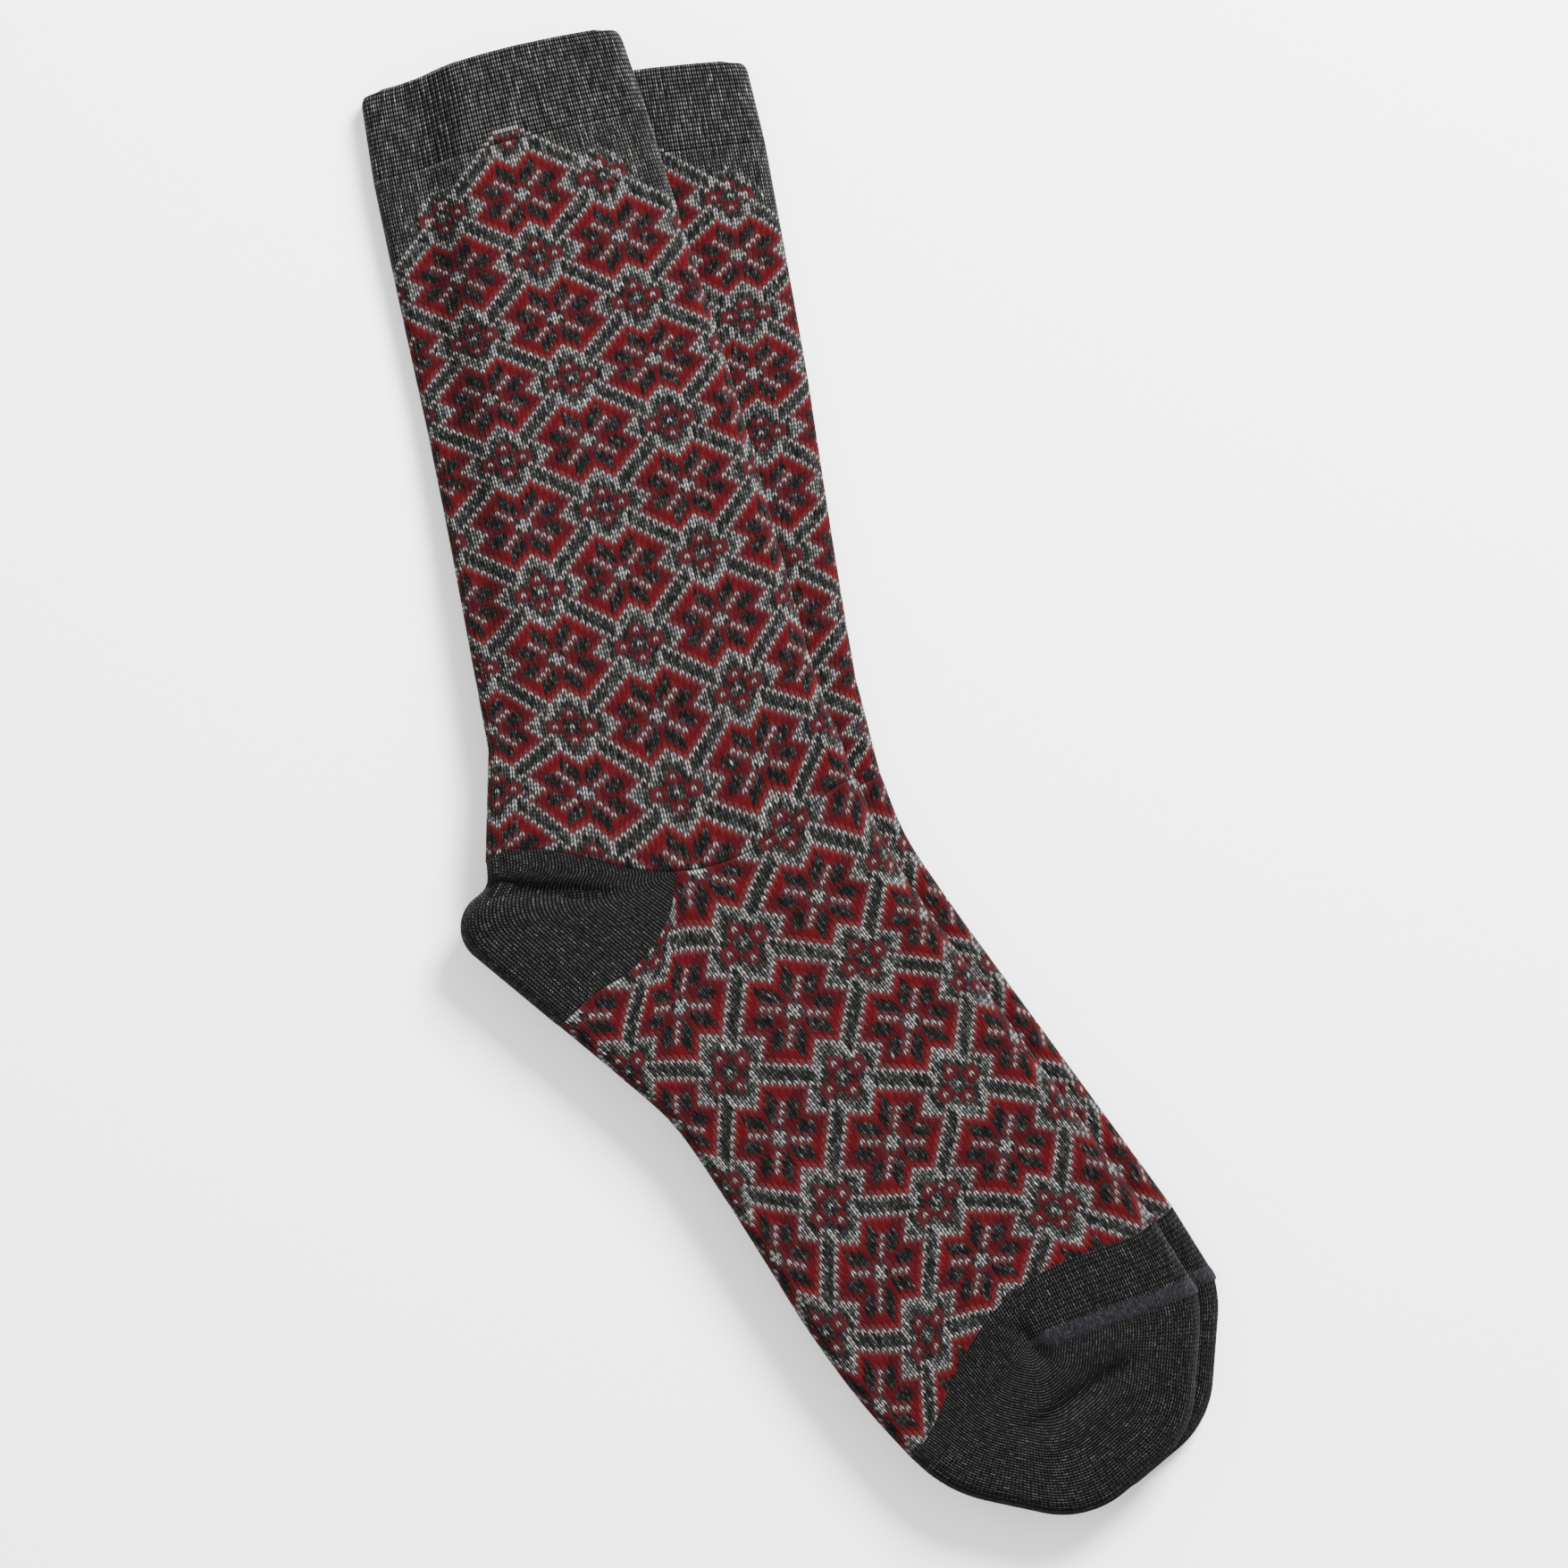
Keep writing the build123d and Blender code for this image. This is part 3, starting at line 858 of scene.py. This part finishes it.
def wool(name, fleck, sheen=0.02, bump=0.5, groove_shade=0.0):
    """Wool knit. Colour = stitch colour x painted leg shade x fibre flecks. The painted leg shade
    is the absolute sine across the wale times the absolute sine along the course, never darker
    than the stitch's gap number. Painted groove shade also darkens the line between two wales
    where the stitch closes no gap at all, as in the grey rib."""
    material = bpy.data.materials.new(name)
    nodes = Nodes(material)
    uv = nodes.add("ShaderNodeUVMap", uv_map="stitches")
    split = nodes.add("ShaderNodeSeparateXYZ")
    nodes.join(uv.outputs[0], split.inputs[0])
    wale = nodes.maths("MULTIPLY", split.outputs[0], 120.0)
    course = nodes.maths("MULTIPLY", split.outputs[1], 400.0)
    across = nodes.maths("ABSOLUTE", nodes.maths("COSINE", nodes.maths("MULTIPLY", wale, 2 * pi)))
    across = nodes.maths("POWER", nodes.maths("SUBTRACT", 1.0, across), 0.8)
    along = nodes.maths("ABSOLUTE", nodes.maths("COSINE", nodes.maths("MULTIPLY", course, pi)))
    along = nodes.maths("POWER", along, 0.8)
    leg = nodes.maths("POWER", nodes.maths("MULTIPLY", across, along), 1.7)
    streak_place = nodes.add("ShaderNodeCombineXYZ")
    nodes.join(nodes.maths("MULTIPLY", wale, 5.0), streak_place.inputs[0])
    nodes.join(nodes.maths("MULTIPLY", course, 1.7), streak_place.inputs[1])
    fibres = nodes.add("ShaderNodeTexNoise")
    fibres.inputs["Scale"].default_value = 1.0
    fibres.inputs["Detail"].default_value = 3.0
    fibres.inputs["Roughness"].default_value = 0.7
    nodes.join(streak_place.outputs[0], fibres.inputs["Vector"])
    flecks = nodes.add("ShaderNodeMapRange")
    flecks.inputs["From Min"].default_value = 0.32
    flecks.inputs["From Max"].default_value = 0.70
    flecks.inputs["To Min"].default_value = 1.0 - fleck
    flecks.inputs["To Max"].default_value = 1.0 + fleck
    nodes.join(fibres.outputs[0], flecks.inputs["Value"])
    stitch = nodes.add("ShaderNodeAttribute", attribute_name="yarn")
    # Painted shade: the leg's colour darkens towards its gaps, down to the share held in the yarn colour's
    # fourth number.
    gap = stitch.outputs["Alpha"]
    shade = nodes.maths("MULTIPLY_ADD", leg, nodes.maths("SUBTRACT", 1.0, gap), gap)
    # Painted groove shade: the line between two wales of plain grey is darkened.
    crown = nodes.maths("ABSOLUTE", nodes.maths("COSINE", nodes.maths("MULTIPLY", wale, pi)))
    depth = nodes.maths("MULTIPLY", nodes.maths("LESS_THAN", gap, 0.02), groove_shade)
    painted_groove_shade = nodes.maths("MULTIPLY", depth, nodes.maths("SUBTRACT", 1.0, crown))
    shade = nodes.maths("MULTIPLY", shade, nodes.maths("SUBTRACT", 1.0, painted_groove_shade))
    tone = nodes.maths("MULTIPLY", shade, flecks.outputs[0])
    coloured = nodes.add("ShaderNodeVectorMath", operation="SCALE")
    nodes.join(stitch.outputs["Color"], coloured.inputs[0])
    nodes.join(tone, coloured.inputs["Scale"])
    nodes.join(coloured.outputs[0], nodes.shader.inputs["Base Color"])
    height = nodes.maths("MULTIPLY_ADD", fibres.outputs[0], 0.35, leg)
    rise = nodes.add("ShaderNodeBump")
    rise.inputs["Strength"].default_value = bump
    rise.inputs["Distance"].default_value = 0.00035
    nodes.join(height, rise.inputs["Height"])
    nodes.join(rise.outputs[0], nodes.shader.inputs["Normal"])
    nodes.shader.inputs["Roughness"].default_value = 0.95
    nodes.shader.inputs["Specular IOR Level"].default_value = 0.06
    nodes.shader.inputs["Sheen Weight"].default_value = sheen
    nodes.shader.inputs["Sheen Roughness"].default_value = 0.5
    nodes.shader.inputs["Sheen Tint"].default_value = (0.9, 0.88, 0.88, 1)
    return material


patterned_wool = wool("patterned_wool", fleck=0.45, groove_shade=0.9)
plain_wool = wool("plain_marl_wool", fleck=0.85)
ribbed_wool = wool("ribbed_marl_wool", fleck=0.45, groove_shade=0.9)
lining_wool = wool("cuff_inside_wool", fleck=0.45)
seam_wool = wool("toe_seam_wool", fleck=0.60)
elastic_thread = wool("covered_elastic", fleck=0.10, sheen=0.05, bump=0.2)
print("wools:", [m.name for m in bpy.data.materials if "wool" in m.name])

# %% [markdown]
# ## Legs and feet
# These are open tubes, so their columns close on themselves. The foot's first course is the
# leg's last one in front and the heel's last one behind.

# %% Legs and feet
ALL_WALES = np.arange(-60.5, 59.5, 0.25)
CUFF_TOP, CUFF_END, HEEL_COURSE, TOE_COURSE = -32.5, -12.5, 149.5, 250.05
TUBE_FIRST, TUBE_LAST = -40, 260
leg_courses = np.arange(CUFF_END, HEEL_COURSE + 0.1)
foot_courses = np.append(np.arange(HEEL_COURSE, TOE_COURSE - 0.45), TOE_COURSE)
for sock, how in socks.items():
    how["tube"] = stitch_colours(TUBE_FIRST, TUBE_LAST, how["shift"], how["seed"], CUFF_GREY)
    tubes = {"leg": (leg_stitches, leg_courses), "foot": (foot_stitches, foot_courses)}
    for part, (stitches, courses) in tubes.items():
        place = placed(stitches, how["lay"])
        mesh = knitted_wall(f"{sock}_{part}_knit", place, ALL_WALES, courses, how["tube"], TUBE_FIRST)
        show(mesh, sock, part, patterned_wool)

# %% [markdown]
# ## Heels and toes
# Each fan runs over the upper side, round the rim, and back along the underside, from pivot to
# pivot. Only the wales behind the pivot take part, and they are the same columns as the leg's or
# the foot's, so the rows of stitches meet.

# %% Wales of a fan
def fan_wales(share_of, pivot_wale, pivot_share):
    """Wales from the pivot on the upper side, back round the rim, to the pivot on the underside,
    in the order of rising wale number, with the two pivots themselves as its ends."""
    candidates = np.arange(pivot_wale - 110, pivot_wale, 0.25)
    candidates = np.round(candidates * 4) / 4
    candidates = candidates[candidates < pivot_wale - 0.1]
    behind = share_of(candidates) < pivot_share * 0.995
    start = np.where(~behind)[0].max() + 1
    wales = candidates[start:]
    below = np.linspace(wales[0] - 0.6, wales[0], 400)
    first = below[np.abs(share_of(below) - pivot_share).argmin()]
    return np.concatenate([[first], wales, [pivot_wale]])


heel_wales = fan_wales(heel_share, TIP_WALE, TIP_SHARE)
toe_wales = fan_wales(toe_share, TOE_WALE, PIVOT_SHARE)
print("heel wales", len(heel_wales), "from", heel_wales[0], "toe wales", len(toe_wales), "from", toe_wales[0])

# %% Heels and toes
heel_courses = np.arange(0, HEEL_COURSES + 0.5)
strip_courses = np.arange(0, STRIP_COURSES + 0.5)
cap_courses = np.arange(0, FAN_COURSES + 0.5)
for sock, how in socks.items():
    grey = stitch_colours(0, 110, 0, how["seed"] + 1, HEEL_GREY)
    heel_place = placed(heel_stitches, how["lay"], "heel", how["swell"])
    strip_place = placed(strip_stitches, how["lay"], "toe", how["swell"])
    cap_place = placed(toe_stitches, how["lay"], "toe", how["swell"])
    heel = knitted_wall(f"{sock}_heel_knit", heel_place, heel_wales, heel_courses, grey, 0, closed=False)
    show(heel, sock, "heel", plain_wool)
    strip = knitted_wall(f"{sock}_toe_knit", strip_place, ALL_WALES, strip_courses, grey, 0)
    cap = knitted_wall(f"{sock}_toe_cap", cap_place, toe_wales, cap_courses, grey, 0, closed=False)
    both = bmesh.new()
    both.from_mesh(strip)
    both.from_mesh(cap)
    both.to_mesh(strip)
    both.free()
    bpy.data.meshes.remove(cap)
    show(strip, sock, "toe", plain_wool)

# %% [markdown]
# ## Toe seam
# The toe is closed by hand along the instep, which leaves a smooth low ridge of chained yarn. It
# is a flat oval section carried along the seam, over the upper side, round the front edge and
# back along the underside, and drawn to a point at both ends.

# %% Toe seams
SEAM_HALF_WIDTH = 2.3
SEAM_HIGH, SEAM_SUNK = 0.45, 0.25
SEAM_YARN = np.array([0.0085, 0.0078, 0.0098])


def seam_wall(place):
    """An oval section on a path: the path is the toe strip's last course from the pivot round the
    front edge, and the oval is as wide as the ridge across it and lies along the normal."""
    wale = np.linspace(TOE_WALE, toe_wales[0] + WALES_ROUND, 232)
    end = np.full_like(wale, STRIP_COURSES)
    path = place(wale, end)
    normal = smooth_normals(place, wale, end - 0.3, 1.0)
    run = np.gradient(path, axis=0)
    run /= np.linalg.norm(run, axis=1, keepdims=True)
    side = np.cross(normal, run)
    taper = np.sqrt(np.clip(np.sin(np.linspace(0, pi, len(wale))) * 4, 0, 1))[None, :, None]
    angle = np.linspace(0, 2 * pi, 24, endpoint=False)
    across, up = np.cos(angle)[:, None, None], np.sin(angle)[:, None, None]
    wide = SEAM_HALF_WIDTH * across * taper * side[None]
    high = (SEAM_HIGH * up - SEAM_SUNK) * taper * normal[None]
    chain = 1 + 0.12 * np.sin(2 * pi * wale)[None, :, None] * up
    return path[None] + (wide + high * chain) * MM, wale, angle


for sock, how in socks.items():
    grid, wale, angle = seam_wall(placed(strip_stitches, how["lay"], "toe", how["swell"]))
    rng = np.random.default_rng(how["seed"] + 5)
    tone = np.exp(rng.normal(0, 0.35, (len(angle), len(wale) - 1)))[..., None]
    # The fourth number, 0.8, is the floor of the painted shade in the seam's gaps.
    paint = np.concatenate([SEAM_YARN * tone, np.full_like(tone, 0.8)], -1)
    places = (wale, angle / (2 * pi) * 4)
    mesh = mesh_from_grid(f"{sock}_toe_seam_yarn", grid[::-1], False, paint, places)
    weld(mesh)
    show(mesh, sock, "toe_seam", seam_wool)

# %% [markdown]
# ## Cuffs
# The cuff is ribbed and folded over on itself, with thin elastic threads caught between the two
# layers. From outside only the knit wales of the rib show, close together, with deep grooves
# between. Each part is a section profile (how far up, how far in) carried round the tube: the
# outer layer with its rounded fold, the lining, and five round threads.

# %% Profiles carried round the cuff
CUFF_COURSE = 22.0 / (CUFF_END - CUFF_TOP)
CUFF_WALL = 1.0
LINING_INSET = 1.45
THREAD_RADIUS, THREAD_INSET = 0.15, 1.225
# The thread's fourth number, 0.9, is the floor of the painted shade in its gaps.
THREAD_YARN = (0.45, 0.44, 0.42, 0.9)
OUTSIDE_ROWS = 20
FOLD_THICK = 2.3
FOLD_RADIUS = FOLD_THICK / 2
TURN_LINE = CUFF_TOP + FOLD_THICK / CUFF_COURSE


def carried_round(place, wale, profile, grooves):
    """Points of a closed profile round the tube: each profile point is a course and an inset along
    the inward normal, and grooves says how deep the rib's gaps are cut there."""
    course = np.array([p[0] for p in profile])
    inset = np.array([p[1] for p in profile])
    depth = np.array(grooves)
    base, normal = skin(place, *np.meshgrid(wale, course))
    cut = legs_relief(wale, 1.0, 0.22)[None, :] * depth[:, None]
    return base + normal * (cut - inset[:, None])[..., None] * MM, course


fold_turn = np.linspace(pi, 0, 8)[1:-1]
fold_centre = CUFF_TOP + FOLD_RADIUS / CUFF_COURSE
outside_rows = np.linspace(fold_centre, CUFF_END, OUTSIDE_ROWS)
cuff_profile = [(c, 0.0) for c in outside_rows]
cuff_profile += [(c, CUFF_WALL) for c in np.linspace(CUFF_END, TURN_LINE, 8)]
cuff_profile += [(TURN_LINE, FOLD_THICK), (fold_centre, FOLD_THICK)]
fold = [(sin(t) * FOLD_RADIUS / CUFF_COURSE, FOLD_RADIUS * (1 - cos(t))) for t in fold_turn]
cuff_profile += [(fold_centre - rise, inset) for rise, inset in fold]
cuff_grooves = [0.50] * len(outside_rows) + [0.0] * 10 + list(0.35 * (1 + np.cos(fold_turn)) / 2)
cuff_grooves[len(outside_rows) - 1] = 0.25
lining_rows = np.linspace(CUFF_END, TURN_LINE + 0.1, 18)
lining_profile = [(c, LINING_INSET) for c in lining_rows[::-1]]
lining_profile += [(c, FOLD_THICK) for c in lining_rows]
lining_grooves = [0.0] * 18 + [-0.3] * 18
thread_heights = np.linspace(CUFF_END, TURN_LINE, 11)[1::2]
thread_turns = np.linspace(0, 2 * pi, 8, endpoint=False)
print("cuff profile", len(cuff_profile), "points, threads at courses", np.round(thread_heights, 1))

# %% Cuffs, linings and elastic threads
for sock, how in socks.items():
    place = placed(leg_stitches, how["lay"])
    grid, rows = carried_round(place, ALL_WALES, cuff_profile, cuff_grooves)
    paint = leg_colours_at(how["tube"], TUBE_FIRST, ALL_WALES, rows + 0.5)
    mesh = mesh_from_grid(f"{sock}_cuff_knit", grid, True, paint, (ALL_WALES, rows))
    show(mesh, sock, "cuff", ribbed_wool)
    grid, rows = carried_round(place, ALL_WALES, lining_profile, lining_grooves)
    # Painted shade: the lining's colours are a tenth darker than the cuff's.
    paint = leg_colours_at(how["tube"], TUBE_FIRST, ALL_WALES, rows - 12) * 0.9
    mesh = mesh_from_grid(f"{sock}_cuff_lining_knit", grid, True, paint, (ALL_WALES, rows))
    show(mesh, sock, "cuff_lining", lining_wool)
    threads = bmesh.new()
    ring_wales = ALL_WALES[::4]
    for height in thread_heights:
        rise = THREAD_RADIUS / CUFF_COURSE
        ring = [(height + rise * sin(t), THREAD_INSET - THREAD_RADIUS * cos(t)) for t in thread_turns]
        grid, rows = carried_round(place, ring_wales, ring, [0.0] * len(ring))
        paint = np.full((len(rows), len(ring_wales), 4), THREAD_YARN)
        ring_mesh = mesh_from_grid("ring", grid, True, paint, (ring_wales, rows))
        threads.from_mesh(ring_mesh)
        bpy.data.meshes.remove(ring_mesh)
    mesh = bpy.data.meshes.new(f"{sock}_elastic_threads")
    threads.to_mesh(mesh)
    threads.free()
    show(mesh, sock, "cuff_elastic", elastic_thread)
